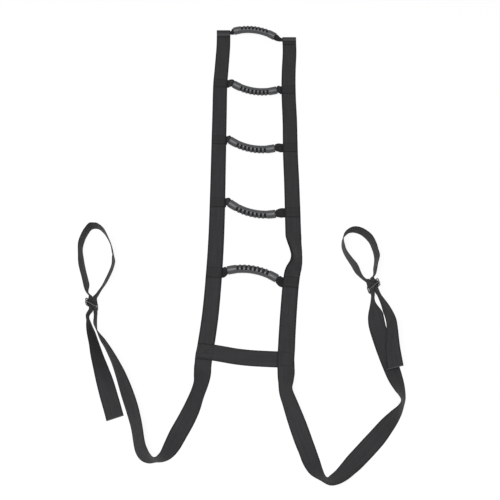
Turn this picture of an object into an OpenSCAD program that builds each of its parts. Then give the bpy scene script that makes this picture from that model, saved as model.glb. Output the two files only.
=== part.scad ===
// Webbing ladder with five moulded hand grips, two tie straps and two slide buckles,
// laid flat on the floor. Millimetres, +Z up, the ladder's top towards +Y.

/* [Webbing] */
// Width of the rail and strap webbing
web_w = 38; // [37:0.5:38.5]
// Thickness of one ply of webbing
web_t = 1.6; // [1.4:0.1:1.7]
// Width of the rung webbing where it is sewn between the rail plies
rung_web_w = 25; // [20:1:26]

/* [Grips] */
// Radius of the grip's curve, at its centre line
curve_r = 150; // [140:1:160]
// Length of the grip along its centre line
grip_len = 120; // [112:1:122]
// Radius of the ribs and the spine
rib_r = 9.8; // [9:0.1:10]
// Radius of the smooth collar at each end
collar_r = 10.2; // [10:0.1:10.4]
// Length of the smooth collar along the centre line
collar_len = 20; // [16:1:24]
// Radius of the channel for the rung webbing
channel_r = 6.5; // [6:0.1:7]
// Number of slots between the ribs
slot_count = 8; // [6:1:9]
// Width of a slot along the centre line
slot_w = 5; // [3:0.5:6]
// Depth of wall left under the slots, inside the centre line
spine_depth = 2; // [0:0.5:3]

/* [Buckles] */
// Length of the buckle across the strap
buckle_len = 46; // [45:0.5:48]
// Radius of the three bars
bar_r = 1.6; // [1.4:0.1:1.7]
// Distance between neighbouring bars
bar_pitch = 8.3; // [8:0.1:9]
// Width of the cheek that joins the bars at each end
cheek_w = 3; // [2:0.25:3]

/* [Hidden] */
$fn = 48;
ply_gap = 0.1;
ply_step = web_t + ply_gap;
fit_gap = 0.2;
swing_gap = 0.4;

webbing_colour = "#3a3a3c";
grip_colour = "#5e5e61";
buckle_colour = "#1d1d1f";

// Grip sizes that follow from the curve
half_angle = grip_len / 2 / curve_r * 180 / PI;
half_chord = curve_r * sin(half_angle);
sagitta = curve_r * (1 - cos(half_angle));
rest_gap = 0.3;
mouth_reach = collar_r * sin(half_angle) + swing_gap;
core_r = channel_r - ply_gap;
stub_step = 1;
stub_r = core_r - stub_step;
stub_inside = 2;

// Rungs from the top down: middle of the chord, turn of the chord, side of the bulge,
// lean of the bulge up off the floor
rungs = [
    [48, 601, -10, 1, 28],
    [50, 407, -10, -1, -28],
    [42, 220, -12.5, -1, -28],
    [42, 28, -15.5, -1, -28],
    [41, -150, -10.5, 1, 28],
];

// Where the rungs are sewn in, along each rail, and the hem that holds the top rung
left_anchors = [614, 429, 241, 52, -141];
right_anchors = [588, 407, 217, 23, -166];
tab_depth = 28;
tab_half = 17;
tab_ramp = 8;
hem_r = 4.2;
hem_lap = 9;
lap_gap = 2;
hem_ramp = 20;
bundle_r = 2.8;
twist_full = 4;
twist_part = 2.1;

// Routes along the straps: x, y, roll in degrees, lift off the floor.
// A positive roll raises the edge on the right of the direction of travel.
left_rail_route = [
    [-38, 614, 0, 0], [-38, 560, 0, 0], [-41, 490, 0, 0], [-44, 420, 0, 0], [-44, 325, 0, 0],
    [-44, 234, 0, 0], [-44, 140, 0, 0], [-44, 50, 0, 0], [-45, -50, 0, 0], [-48, -143, 0, 0],
    [-54, -245, 0, 0], [-62, -320, 0, 0], [-66, -346, 0, 0], [-67, -362, 0, 0],
];
right_rail_route = [
    [145, 588, 0, 0], [145, 540, 0, 0], [141, 470, 0, 0], [139, 396, 0, 0], [140, 300, 0, 0],
    [139, 204, 0, 0], [140, 110, 0, 0], [140, 14, 0, 0], [140, -34, 0, 0], [140, -59, 24, 0],
    [143, -88, 42, 0], [144, -110, 49, 0], [141, -127, 43, 0], [136, -139, 23, 0],
    [134, -147, 2, 0], [133, -154, 0, 0], [129, -185, 0, 0], [123, -250, 0, 0], [119, -300, 0, 0],
    [117, -330, 0, 1.7], [115, -355, 0, 1.7], [115, -378, 0, 1.7],
];
cross_strap_route = [
    [-82, -336, 0, 3.5], [-62, -338, 0, 3.5], [-41, -341, 0, 3.5], [-20, -344, 0, 1.4],
    [5, -348, 0, 0], [40, -352, 0, 0], [97, -355, 0, 0], [134, -355, 0, 0],
];
left_lead_route = [
    [-67, -363, 0, 0], [-68, -375, 3, 0], [-68, -390, 13, 0], [-70, -414, 38, 0],
    [-77, -439, 44, 0], [-87, -467, 31, 0], [-100, -495, 20, 0], [-114, -522, 20, 0],
    [-126, -549, 36, 0], [-136, -566, 56, 0], [-147, -576, 76, 0], [-159, -580, 88, 0],
    [-171, -577, 70, 0], [-182, -569, 54, 0], [-190, -557, 48, 0], [-195, -541, 47, 0],
    [-203, -506, 46, 0], [-215, -469, 42, 0], [-228, -436, 43, 0], [-240, -407, 50, 0],
    [-250, -385, 58, 0], [-264, -358, 68, 0], [-283, -327, 77, 0], [-298, -307, 84, 0],
    [-308, -288, 92, 0], [-313, -271, 104, 2],
];
left_loop_route = [
    [-315, -203, 99, 2], [-305, -189, 79, 0], [-294, -166, 80, 0], [-285, -138, 83, 0],
    [-283, -117, 90, 0], [-283, -105, 88, 0], [-289, -88, 84, 0], [-296, -67, 90, 0],
    [-310, -41, 90, 0], [-325, -26, 94, 0], [-336, -23, 97, 0], [-346, -25, 94, 0],
    [-354, -38, 91, 0], [-360, -54, 89, 0], [-364, -78, 85, 0], [-360, -106, 80, 0],
    [-354, -135, 74, 0], [-343, -169, 74, 0], [-334, -199, 72, 2],
];
left_tail_route = [
    [-325, -262, 71, 3], [-323, -274, 74, 1], [-320, -288, 70, 0], [-315, -305, 64, 0],
    [-307, -328, 58, 0], [-299, -353, 48, 0], [-289, -380, 36, 0], [-279, -408, 20, 0],
    [-268, -440, 6, 0], [-259, -465, 0, 0], [-251, -488, 0, 0],
];
right_lead_route = [
    [115, -379, 0, 1.7], [115, -390, -10, 0.7], [114, -407, -28, 0], [113, -432, -44, 0],
    [122, -461, -38, 0], [139, -510, -15, 0], [154, -553, 5, 0], [162, -578, 11, 0],
    [171, -600, 31, 0], [185, -617, 57, 0], [197, -622, 52, 0], [209, -618, 43, 0],
    [224, -608, 34, 0], [239, -594, 23, 0], [253, -580, 10, 0], [278, -555, -1, 0],
    [303, -530, -16, 0], [322, -509, -32, 0], [340, -490, -50, 0], [353, -475, -66, 0],
    [360, -461, -72, 0], [361, -446, -58, 0], [358, -429, -40, 0], [352, -401, -18, 0],
    [343, -361, -2, 0], [334, -327, 2, 0], [327, -298, 7, 0], [322, -275, 17, 0],
    [320, -257, 30, 0], [319, -240, 44, 0], [319, -223, 56, 2],
];
right_loop_route = [
    [304, -166, 84, 3], [295, -157, 88, 1], [285, -141, 84, 0], [273, -120, 91, 0],
    [262, -100, 93, 0], [257, -84, 90, 0], [255, -69, 89, 0], [258, -53, 87, 0],
    [266, -42, 84, 0], [276, -35, 82, 0], [289, -34, 84, 0], [305, -41, 87, 0],
    [321, -58, 93, 0], [329, -79, 96, 0], [332, -96, 97, 0], [333, -112, 102, 0],
    [328, -132, 101, 0], [321, -156, 108, 2],
];
right_tail_route = [
    [328, -216, 111, 4], [336, -229, 102, 4], [343, -244, 102, 5], [348, -260, 108, 7],
    [351, -279, 116, 10], [351, -300, 122, 10], [350, -322, 130, 9], [350, -345, 138, 8],
    [352, -381, 148, 9],
];

// Buckles: middle, heading of the strap, roll of the strap, side that the webbing humps to
left_buckle_place = [[-322, -231, 22], 97, 117, 1];
right_buckle_place = [[319, -185, 22], 105, 62, -1];
buckle_exit = 12;
near_r = bar_r + fit_gap + web_t / 2;
far_r = near_r + ply_step;

// Ring spacing along the swept straps
flat_spacing = 20;
rail_spacing = 10;
strap_spacing = 8;

// Point between b and c on a smooth curve through the route points a, b, c and d
function curve_point(a, b, c, d, t) =
    (2 * b + (c - a) * t + (2 * a - 5 * b + 4 * c - d) * t * t
    + (3 * b - a - 3 * c + d) * t * t * t) / 2;

// Route with more points between its own, no further apart than the spacing and closer where it rolls
function smooth(route, spacing) = let (last = len(route) - 1) concat(
    [for (i = [0 : last - 1])
        let (
            a = route[max(i - 1, 0)], b = route[i], c = route[i + 1], d = route[min(i + 2, last)],
            steps = ceil((norm([c[0] - b[0], c[1] - b[1]]) + abs(c[2] - b[2])) / spacing)
        )
        for (k = [0 : steps - 1]) curve_point(a, b, c, d, k / steps)],
    [route[last]]);

// Directions at a point of a strap: along the floor to the right, across the strap, out of its face
function right_of(heading) = [sin(heading), -cos(heading), 0];
function across(heading, roll) = cos(roll) * right_of(heading) + [0, 0, sin(roll)];
function face_of(heading, roll) = -sin(roll) * right_of(heading) + [0, 0, cos(roll)];

// Height of a strap's middle when its lower edge is on the floor
function rise(roll) = web_w / 2 * abs(sin(roll)) + web_t / 2 * abs(cos(roll));

// Direction of travel at point i of a route
function heading_at(route, i) =
    let (step = route[min(i + 1, len(route) - 1)] - route[max(i - 1, 0)])
    atan2(step[1], step[0]);

// Frames of a strap along a route: each is its middle and its direction across.
// The layers lift a ply off the one below it.
function frames(route, layers = []) = [for (i = [0 : len(route) - 1])
    let (
        p = route[i], h = heading_at(route, i),
        layer = len(layers) > 0 ? layers[i] : 0
    )
    [[p[0], p[1], rise(p[2]) + max(p[3], 0)] + layer * face_of(h, p[2]), across(h, p[2])]];

// Swept flat strap through a list of frames
module ribbon(frames) {
    last = len(frames) - 1;
    corners = [[-1, -1], [1, -1], [1, 1], [-1, 1]];
    points = [for (i = [0 : last])
        let (
            travel = frames[min(i + 1, last)][0] - frames[max(i - 1, 0)][0],
            w = frames[i][1],
            n = cross(w, travel) / norm(cross(w, travel))
        )
        for (c = corners) frames[i][0] + c[0] * web_w / 2 * w + c[1] * web_t / 2 * n];
    sides = [for (i = [0 : last - 1], k = [0 : 3])
        let (a = 4 * i + k, b = 4 * i + (k + 1) % 4)
        each [[a, b, b + 4], [a, b + 4, a + 4]]];
    end = 4 * last;
    caps = [[0, 2, 1], [0, 3, 2], [end, end + 1, end + 2], [end, end + 2, end + 3]];
    polyhedron(points, concat(sides, caps), convexity = 12);
}

// How far the front ply stands off: over the rung webbing, over the hem, and where the rail is turned
function ease(d, flat, ramp) = d < flat ? 1 : d > flat + ramp ? 0 : (1 + cos(180 * (d - flat) / ramp)) / 2;
function front_layer(y, roll, anchors) =
    let (
        rung_hump = max([for (i = [1 : 4]) ease(abs(y - anchors[i]), tab_half, tab_ramp)]),
        hem_hump = ease(anchors[0] - y, 0, hem_ramp),
        turned = min(abs(roll) / twist_full, 1)
    )
    ply_step * (1 + rung_hump) + (2 * hem_r - ply_step) * hem_hump + twist_part * turned;

// Rail plies: the back one lies flat, the front one folds over the top as a hem
module rail_back(route, anchors, spacing) {
    line = smooth(route, spacing);
    below_hem = [for (p = line) if (p[1] < anchors[0] - hem_lap - 2 * lap_gap) p];
    top = [route[0][0], anchors[0] - hem_lap - lap_gap, 0, 0];
    color(webbing_colour) ribbon(frames(concat([top], below_hem)));
}

module rail_front(route, anchors) {
    line = smooth(route, rail_spacing);
    layers = [for (p = line) front_layer(p[1], p[2], anchors)];
    hem_x = route[0][0];
    hem_y = anchors[0];
    middle_z = hem_r + web_t / 2;
    fold = concat(
        [[[hem_x, hem_y - hem_lap, web_t / 2], [-1, 0, 0]]],
        [for (a = [-90 : 22.5 : 67.5])
            [[hem_x, hem_y + hem_r * cos(a), middle_z + hem_r * sin(a)], [-1, 0, 0]]]);
    color(webbing_colour) ribbon(concat(fold, frames(line, layers)));
}

module left_rail_back() rail_back(left_rail_route, left_anchors, flat_spacing);
module left_rail_front() rail_front(left_rail_route, left_anchors);
module right_rail_back() rail_back(right_rail_route, right_anchors, rail_spacing);
module right_rail_front() rail_front(right_rail_route, right_anchors);
module cross_strap() color(webbing_colour) ribbon(frames(smooth(cross_strap_route, rail_spacing)));

// Height of a rung's swing axis: its collars are on the floor, or its bulge when that leans down
function axis_z(rung) = rest_gap + max(collar_r, rib_r - sagitta * sin(rung[4]));

// Frame of a rung: chord along X, bulge to +Y, origin at the middle of the chord on the grip's axis
module at_rung(rung) {
    turn = rung[3] > 0 ? rung[2] : rung[2] + 180;
    translate([rung[0], rung[1], axis_z(rung)]) rotate([0, 0, turn]) rotate([rung[4], 0, 0]) children();
}

// Part of a ring round the curve's centre, from one angle to another about the bulge's middle
module arc_of(from, to) {
    translate([0, -curve_r * cos(half_angle), 0])
        rotate([0, 0, 90 + from])
            rotate_extrude(angle = to - from, $fn = 180) translate([curve_r, 0]) children();
}

function arc_angle(length) = length / curve_r * 180 / PI;

// Moulded grip: ribs on a curved spine between two smooth collars, hollow for the rung webbing
module grip(i) {
    rib_zone = half_angle - arc_angle(collar_len);
    slot_step = 2 * rib_zone / slot_count;
    color(grip_colour) at_rung(rungs[i]) difference() {
        union() {
            arc_of(-half_angle, half_angle) circle(rib_r);
            for (s = [-half_angle, rib_zone])
                arc_of(s, s + arc_angle(collar_len)) circle(collar_r);
        }
        arc_of(-half_angle - 1, half_angle + 1) circle(channel_r);
        for (k = [0 : slot_count - 1])
            translate([0, -curve_r * cos(half_angle), 0])
                rotate([0, 0, -rib_zone + (k + 0.5) * slot_step])
                    translate([-slot_w / 2, curve_r - spine_depth, -collar_r - 1])
                        cube([slot_w, collar_r + spine_depth + 1, 2 * collar_r + 2]);
    }
}

// Rung webbing gathered inside the grip, with a round stub on the swing axis at each end
module core(i) {
    color(webbing_colour) at_rung(rungs[i]) {
        arc_of(-half_angle, half_angle) circle(core_r);
        for (s = [-1, 1]) translate([s * half_chord, 0, 0]) {
            rotate([0, s * 90, 0]) translate([0, 0, -stub_inside])
                cylinder(r = stub_r, h = stub_inside + mouth_reach - fit_gap);
        }
    }
}

// Ends of the rung webbing, from between the rail plies to the mouths of the grip.
// Sections: middle, half width, half thickness, turn
neck_steps = 6;
neck_sides = 12;
neck_half_w = 7.5;
neck_half_t = 5;
edge_gap = 1.2;

function section_point(angle, a, b) = [
    a * sign(cos(angle)) * sqrt(abs(cos(angle))), b * sign(sin(angle)) * sqrt(abs(sin(angle)))];

module loft(sections) {
    last = len(sections) - 1;
    points = [for (s = sections, k = [0 : neck_sides - 1])
        let (q = section_point(360 * (k + 0.5) / neck_sides, s[1], s[2]))
        s[0] + [-q[0] * sin(s[3]), q[0] * cos(s[3]), q[1]]];
    sides = [for (i = [0 : last - 1], k = [0 : neck_sides - 1])
        let (a = neck_sides * i + k, b = neck_sides * i + (k + 1) % neck_sides)
        each [[a, b + neck_sides, b], [a, a + neck_sides, b + neck_sides]]];
    caps = [
        [for (k = [0 : neck_sides - 1]) k],
        [for (k = [neck_sides - 1 : -1 : 0]) neck_sides * last + k]];
    polyhedron(points, concat(sides, caps), convexity = 4);
}

module neck(i, inner_edge, anchor_y, outward) {
    hem = i == 0;
    rung = rungs[i];
    start = [inner_edge - outward * edge_gap, anchor_y, hem ? hem_r + web_t / 2 : ply_step + web_t / 2];
    start_w = hem ? bundle_r : rung_web_w / 2;
    start_t = hem ? bundle_r : web_t / 2 - ply_gap / 2;
    depth = hem ? web_w - 2 : tab_depth;
    reach = half_chord + mouth_reach;
    tip = [rung[0] + outward * reach * cos(rung[2]), rung[1] + outward * reach * sin(rung[2]), axis_z(rung)];
    gather = [for (k = [0 : neck_steps])
        let (
            t = k / neck_steps,
            e = t * t * (3 - 2 * t),
            level = start + (tip - start) * t
        )
        [[level[0], level[1], start[2] + (tip[2] - start[2]) * e],
            start_w + (neck_half_w - start_w) * e, start_t + (neck_half_t - start_t) * e, rung[2] * e]];
    tab = [[start + [outward * depth, 0, 0], start_w, start_t, 0]];
    sections = concat(tab, gather);
    loft(outward > 0 ? reversed(sections) : sections);
}

module necks(i) {
    left_edge = rail_x(left_rail_route, left_anchors[i]) + web_w / 2;
    right_edge = rail_x(right_rail_route, right_anchors[i]) - web_w / 2;
    color(webbing_colour) {
        neck(i, left_edge, left_anchors[i], -1);
        neck(i, right_edge, right_anchors[i], 1);
    }
}

// Middle of a rail at a distance along the ladder
function rail_x(route, y) = lookup(y, [for (k = [len(route) - 1 : -1 : 0]) [route[k][1], route[k][0]]]);

// Strap point where it leaves a buckle, s along the strap and n out of its face
function exit_point(place, s, n, roll) =
    let (
        p = place[0] + s * [cos(place[1]), sin(place[1]), 0] + n * face_of(place[1], place[2])
    )
    [p[0], p[1], roll, p[2] - rise(place[2])];
function lead_exit(place, s) = exit_point(place, s, -place[3] * far_r, place[2]);
function tail_exit(place, s, part = 0) =
    exit_point(place, s, -place[3] * (near_r - part), 180 - place[2]);

module strap(route) color(webbing_colour) ribbon(frames(smooth(route, strap_spacing)));

// The three runs of a tie strap: up to its buckle, round its loop, and on past the buckle
strap_gap = 0.8;
exit_len = 6;
strap_end = buckle_exit + strap_gap;
strap_straight = strap_end + exit_len;
tail_part = 0.35;
module lead(route, place) strap(concat(
    route, [lead_exit(place, -strap_straight), lead_exit(place, -strap_end)]));
module loop(route, place) strap(concat(
    [lead_exit(place, strap_end), lead_exit(place, strap_straight)], route,
    [tail_exit(place, strap_straight), tail_exit(place, strap_end)]));
module tail(route, place) strap(concat(
    [tail_exit(place, -strap_end), tail_exit(place, -strap_straight, tail_part)], route));

// Frame of a buckle: X across the strap, Y along it, Z out of its face
module at_buckle(place) {
    translate(place[0]) rotate([0, 0, place[1] - 90]) rotate([0, -place[2], 0]) children();
}

// Three-bar slide buckle
module buckle(place) {
    color(buckle_colour) at_buckle(place) {
        for (k = [-1 : 1]) translate([0, k * bar_pitch, 0])
            rotate([0, 90, 0]) cylinder(r = bar_r, h = buckle_len - cheek_w, center = true);
        for (s = [-1, 1]) translate([s * (buckle_len - cheek_w) / 2, 0, 0])
            rotate([0, 90, 0]) linear_extrude(cheek_w, center = true) {
                square([2 * bar_r, 2 * bar_pitch], center = true);
                for (k = [-1, 1]) translate([0, k * bar_pitch]) circle(bar_r);
            }
    }
}

// Webbing through a buckle: round the back of the outer bars and over the middle one
weave_angle = asin((near_r + far_r) / bar_pitch);
arc_steps = 6;
function bar_arc(y, r, from, to) = [for (k = [0 : arc_steps])
    let (a = from + (to - from) * k / arc_steps) [y + r * cos(a), r * sin(a)]];
function weave_edge(outer, middle) = concat(
    [[-buckle_exit, -outer]],
    bar_arc(-bar_pitch, outer, 270, 270 + weave_angle),
    bar_arc(0, middle, 90 + weave_angle, 90 - weave_angle),
    bar_arc(bar_pitch, outer, 270 - weave_angle, 270),
    [[buckle_exit, -outer]]);
function reversed(list) = [for (k = [len(list) - 1 : -1 : 0]) list[k]];

module weave_ply(outer, middle) {
    rotate([90, 0, 90]) linear_extrude(web_w, center = true)
        polygon(concat(
            weave_edge(outer - web_t / 2, middle + web_t / 2),
            reversed(weave_edge(outer + web_t / 2, middle - web_t / 2))));
}

module weave(place) {
    color(webbing_colour) at_buckle(place) mirror([0, 0, place[3] > 0 ? 0 : 1]) {
        weave_ply(far_r, near_r);
        weave_ply(near_r, far_r);
    }
}

left_rail_back();
left_rail_front();
right_rail_back();
right_rail_front();
cross_strap();
for (i = [0 : 4]) {
    necks(i);
    core(i);
    grip(i);
}
lead(left_lead_route, left_buckle_place);  // left_lead
loop(left_loop_route, left_buckle_place);  // left_loop
tail(left_tail_route, left_buckle_place);  // left_tail
buckle(left_buckle_place);  // left_buckle
weave(left_buckle_place);  // left_webbing_in_buckle
lead(right_lead_route, right_buckle_place);  // right_lead
loop(right_loop_route, right_buckle_place);  // right_loop
tail(right_tail_route, right_buckle_place);  // right_tail
buckle(right_buckle_place);  // right_buckle
weave(right_buckle_place);  // right_webbing_in_buckle
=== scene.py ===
import math

import bmesh
import bpy
from bpy.props import FloatProperty, FloatVectorProperty, IntProperty, PointerProperty
from bpy.types import Operator, Panel, PropertyGroup
from mathutils import Matrix, Vector


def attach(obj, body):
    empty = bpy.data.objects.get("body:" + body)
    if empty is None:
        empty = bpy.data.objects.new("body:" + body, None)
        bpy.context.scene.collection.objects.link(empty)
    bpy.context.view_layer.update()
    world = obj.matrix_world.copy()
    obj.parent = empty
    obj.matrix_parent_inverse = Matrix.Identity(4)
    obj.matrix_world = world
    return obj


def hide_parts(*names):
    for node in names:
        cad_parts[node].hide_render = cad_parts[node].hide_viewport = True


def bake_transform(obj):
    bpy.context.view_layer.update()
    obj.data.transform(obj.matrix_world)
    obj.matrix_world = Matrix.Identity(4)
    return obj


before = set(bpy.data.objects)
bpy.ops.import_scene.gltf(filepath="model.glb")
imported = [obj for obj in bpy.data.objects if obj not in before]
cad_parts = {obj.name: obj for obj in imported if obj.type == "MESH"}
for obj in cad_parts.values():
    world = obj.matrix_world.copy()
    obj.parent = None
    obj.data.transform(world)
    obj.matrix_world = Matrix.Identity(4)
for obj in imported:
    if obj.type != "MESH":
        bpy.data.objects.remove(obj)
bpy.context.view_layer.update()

bl_info = {
    "name": "Webbing Ladder",
    "version": (1, 0, 0),
    "blender": (4, 5, 0),
    "location": "3D View > Sidebar > Ladder",
    "description": "A webbing ladder with moulded hand grips, tie straps and slide buckles",
    "category": "Object",
}

MM = 0.001
UP = Vector((0, 0, 1))
ALONG = Vector((0, 1, 0))

# Routes along the straps, in millimetres and degrees: x, y, roll, lift off the floor.
# A positive roll raises the edge on the right of the direction of travel.
LEFT_RAIL = [
    (-38, 614, 0, 0), (-38, 560, 0, 0), (-41, 490, 0, 0), (-44, 420, 0, 0), (-44, 325, 0, 0),
    (-44, 234, 0, 0), (-44, 140, 0, 0), (-44, 50, 0, 0), (-45, -50, 0, 0), (-48, -143, 0, 0),
    (-54, -245, 0, 0), (-62, -320, 0, 0), (-66, -346, 0, 0), (-67, -362, 0, 0),
]
RIGHT_RAIL = [
    (145, 588, 0, 0), (145, 540, 0, 0), (141, 470, 0, 0), (139, 396, 0, 0), (140, 300, 0, 0),
    (139, 204, 0, 0), (140, 110, 0, 0), (140, 14, 0, 0), (140, -34, 0, 0), (140, -59, 24, 0),
    (143, -88, 42, 0), (144, -110, 49, 0), (141, -127, 43, 0), (136, -139, 23, 0),
    (134, -147, 2, 0), (133, -154, 0, 0), (129, -185, 0, 0), (123, -250, 0, 0), (119, -300, 0, 0),
    (117, -330, 0, 1.7), (115, -355, 0, 1.7), (115, -378, 0, 1.7),
]
CROSS_STRAP = [
    (-82, -336, 0, 3.5), (-62, -338, 0, 3.5), (-41, -341, 0, 3.5), (-20, -344, 0, 1.4),
    (5, -348, 0, 0), (40, -352, 0, 0), (97, -355, 0, 0), (134, -355, 0, 0),
]
LEFT_LEAD = [
    (-67, -363, 0, 0), (-68, -375, 3, 0), (-68, -390, 13, 0), (-70, -414, 38, 0),
    (-77, -439, 44, 0), (-87, -467, 31, 0), (-100, -495, 20, 0), (-114, -522, 20, 0),
    (-126, -549, 36, 0), (-136, -566, 56, 0), (-147, -576, 76, 0), (-159, -580, 88, 0),
    (-171, -577, 70, 0), (-182, -569, 54, 0), (-190, -557, 48, 0), (-195, -541, 47, 0),
    (-203, -506, 46, 0), (-215, -469, 42, 0), (-228, -436, 43, 0), (-240, -407, 50, 0),
    (-250, -385, 58, 0), (-264, -358, 68, 0), (-283, -327, 77, 0), (-298, -307, 84, 0),
    (-308, -288, 92, 0), (-313, -271, 104, 2),
]
LEFT_LOOP = [
    (-315, -203, 99, 2), (-305, -189, 79, 0), (-294, -166, 80, 0), (-285, -138, 83, 0),
    (-283, -117, 90, 0), (-283, -105, 88, 0), (-289, -88, 84, 0), (-296, -67, 90, 0),
    (-310, -41, 90, 0), (-325, -26, 94, 0), (-336, -23, 97, 0), (-346, -25, 94, 0),
    (-354, -38, 91, 0), (-360, -54, 89, 0), (-364, -78, 85, 0), (-360, -106, 80, 0),
    (-354, -135, 74, 0), (-343, -169, 74, 0), (-334, -199, 72, 2),
]
LEFT_TAIL = [
    (-325, -262, 71, 3), (-323, -274, 74, 1), (-320, -288, 70, 0), (-315, -305, 64, 0),
    (-307, -328, 58, 0), (-299, -353, 48, 0), (-289, -380, 36, 0), (-279, -408, 20, 0),
    (-268, -440, 6, 0), (-259, -465, 0, 0), (-251, -488, 0, 0),
]
RIGHT_LEAD = [
    (115, -379, 0, 1.7), (115, -390, -10, 0.7), (114, -407, -28, 0), (113, -432, -44, 0),
    (122, -461, -38, 0), (139, -510, -15, 0), (154, -553, 5, 0), (162, -578, 11, 0),
    (171, -600, 31, 0), (185, -617, 57, 0), (197, -622, 52, 0), (209, -618, 43, 0),
    (224, -608, 34, 0), (239, -594, 23, 0), (253, -580, 10, 0), (278, -555, -1, 0),
    (303, -530, -16, 0), (322, -509, -32, 0), (340, -490, -50, 0), (353, -475, -66, 0),
    (360, -461, -72, 0), (361, -446, -58, 0), (358, -429, -40, 0), (352, -401, -18, 0),
    (343, -361, -2, 0), (334, -327, 2, 0), (327, -298, 7, 0), (322, -275, 17, 0),
    (320, -257, 30, 0), (319, -240, 44, 0), (319, -223, 56, 2),
]
RIGHT_LOOP = [
    (304, -166, 84, 3), (295, -157, 88, 1), (285, -141, 84, 0), (273, -120, 91, 0),
    (262, -100, 93, 0), (257, -84, 90, 0), (255, -69, 89, 0), (258, -53, 87, 0), (266, -42, 84, 0),
    (276, -35, 82, 0), (289, -34, 84, 0), (305, -41, 87, 0), (321, -58, 93, 0), (329, -79, 96, 0),
    (332, -96, 97, 0), (333, -112, 102, 0), (328, -132, 101, 0), (321, -156, 108, 2),
]
RIGHT_TAIL = [
    (328, -216, 111, 4), (336, -229, 102, 4), (343, -244, 102, 5), (348, -260, 108, 7),
    (351, -279, 116, 10), (351, -300, 122, 10), (350, -322, 130, 9), (350, -345, 138, 8),
    (352, -381, 148, 9),
]

# Where the rungs cross each rail, as y in millimetres, from the top down.
LEFT_ANCHORS = [614, 429, 241, 52, -141]
RIGHT_ANCHORS = [588, 407, 217, 23, -166]

# Each rail's route and rung places, and each tie strap's lead, loop and tail.
RAILS = {"left": (LEFT_RAIL, LEFT_ANCHORS), "right": (RIGHT_RAIL, RIGHT_ANCHORS)}
TIES = {"left": (LEFT_LEAD, LEFT_LOOP, LEFT_TAIL), "right": (RIGHT_LEAD, RIGHT_LOOP, RIGHT_TAIL)}

# Rungs from the top down: middle of the chord, turn of the chord, side of the bulge, lean of the
# bulge up off the floor. A grip rests this far above the floor.
RUNGS = [
    (48, 601, -10, 1, 28), (50, 407, -10, -1, -28), (42, 220, -12.5, -1, -28), (42, 28, -15.5, -1, -28),
    (41, -150, -10.5, 1, 28),
]
REST_GAP = 0.3

# Buckles: middle, heading of the strap, roll of the strap, side that the webbing humps to.
BUCKLES = {
    "left": (Vector((-322, -231, 22)), 97, 117, 1),
    "right": (Vector((319, -185, 22)), 105, 62, -1),
}

# Along the strap from a buckle's middle, in millimetres: where the webbing leaves the buckle, and where
# its straight run ends, by which the tail has come this far closer to the bars.
BUCKLE_EXIT = 12
EXIT_STRAIGHT = 18.8
TAIL_PART = 0.35

# Gap between a bar and the webbing on it, in millimetres, and steps round a bar.
BAR_GAP = 0.2
BAR_STEPS = 8

# Which ends of a tie strap's parts are at the buckle: the first frame, the last or both.
BUCKLE_ENDS = {"lead": (-1,), "loop": (0, -1), "tail": (0,)}

# The end of the buckle that each part's first and last frame are drawn to.
DRAWN_TO = {"lead": (-1, -1), "loop": (-1, 1), "tail": (1, 1)}

# Where each part was meant to begin to follow the buckle, along the strap from the buckle's middle, in
# metres; read but not used.
FOLLOWS_FROM = {"lead": -0.11, "loop": 0.14, "tail": -0.11}

# Spacing of the points along rails and tie straps, in millimetres and degrees of roll.
RAIL_SPACING = 5
TIE_SPACING = 4

# How the rails are sewn, in millimetres: gap between plies, hem, tabs of the rungs, ramp of the leads.
PLY_GAP = 0.1
HEM_R = 4.2
HEM_LAP = 9
HEM_RAMP = 20
LAP_GAP = 2
TAB_HALF = 17
TAB_RAMP = 8
HEM_SEAM = {"left": 7.5, "right": 1.5}
HEM_BAND = 9
LEAD_RAMP = 40
FOLD_STEPS = 12

# Where a rail turns, its plies part: fully from this roll in degrees, and this far in millimetres.
TWIST_FULL = 4
TWIST_PART = 2.1

# A flat rail has one edge lifted up to this angle, in waves of this length in millimetres. It is flat
# below this roll.
EDGE_LIFT = 0.7
LIFT_WAVE = 173
FLAT_ROLL = 0.5

# Sewing of the webbing, in metres: length of the hem's fold, seams, and painted shade along the woven edge.
FOLD_LENGTH = 0.02
SEAM_SPREAD = 0.0016
HEM_SPREAD = 0.0024
SEAM_DEPTH = 0.0005
EDGE_SHADE = (0.0012, 0.0042)

# Seams at a rung: distance from its middle in millimetres, and how hard the thread pulls, which also paints
# shade along the seam.
RUNG_SEAMS = ((12.5, 0.4), (-12.5, 1.0))

# Painted shade and highlight along the hem: place as a share of the way from the fold to the seam, spread
# in millimetres, and how much darker it is as painted shade, or paler as a painted highlight on its roll
# where below 0.
HEM_TONES = ((-0.25, 3, 0.3), (0.62, 4.5, -0.8))

# Darker tone at a rung: distance from its middle and spread in millimetres, and how much darker.
RUNG_TONES = ((0, 11, 0.34),)

# Extra rings across a seam, and how far beyond them other rings stay, in spreads of the seam.
SEAM_STEPS = (-2.5, -1.4, -0.7, 0, 0.7, 1.4, 2.5)
SEAM_CLEAR = 0.4

# Stitches, in metres: pitch, gap, radius and sides of the thread, and its rise along a stitch as a share of
# the length and a height.
STITCH_PITCH = 0.0036
STITCH_GAP = 0.0008
THREAD_RADIUS = 0.00027
THREAD_SIDES = 6
STITCH_RISE = ((0, -0.0003), (0.15, 0.00012), (0.5, 0.0002), (0.85, 0.00012), (1, -0.0003))

# Rows of stitches, in metres: distance in from the rail's edges and from its lower end.
EDGE_INSET = 0.0032
END_INSET = 0.004

# Stitched boxes at the cross strap's ends: on the right rail from and to these places in millimetres, and
# across it in metres with one more row, and on the strap's left end along and across it in metres.
RIGHT_BOX = (-340, -371)
RIGHT_BOX_ACROSS = (-0.013, 0.0125)
RIGHT_BOX_ROW = 0.0095
LEFT_BOX = (0.004, 0.036)
LEFT_BOX_ACROSS = (-0.015, 0.015)

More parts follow.
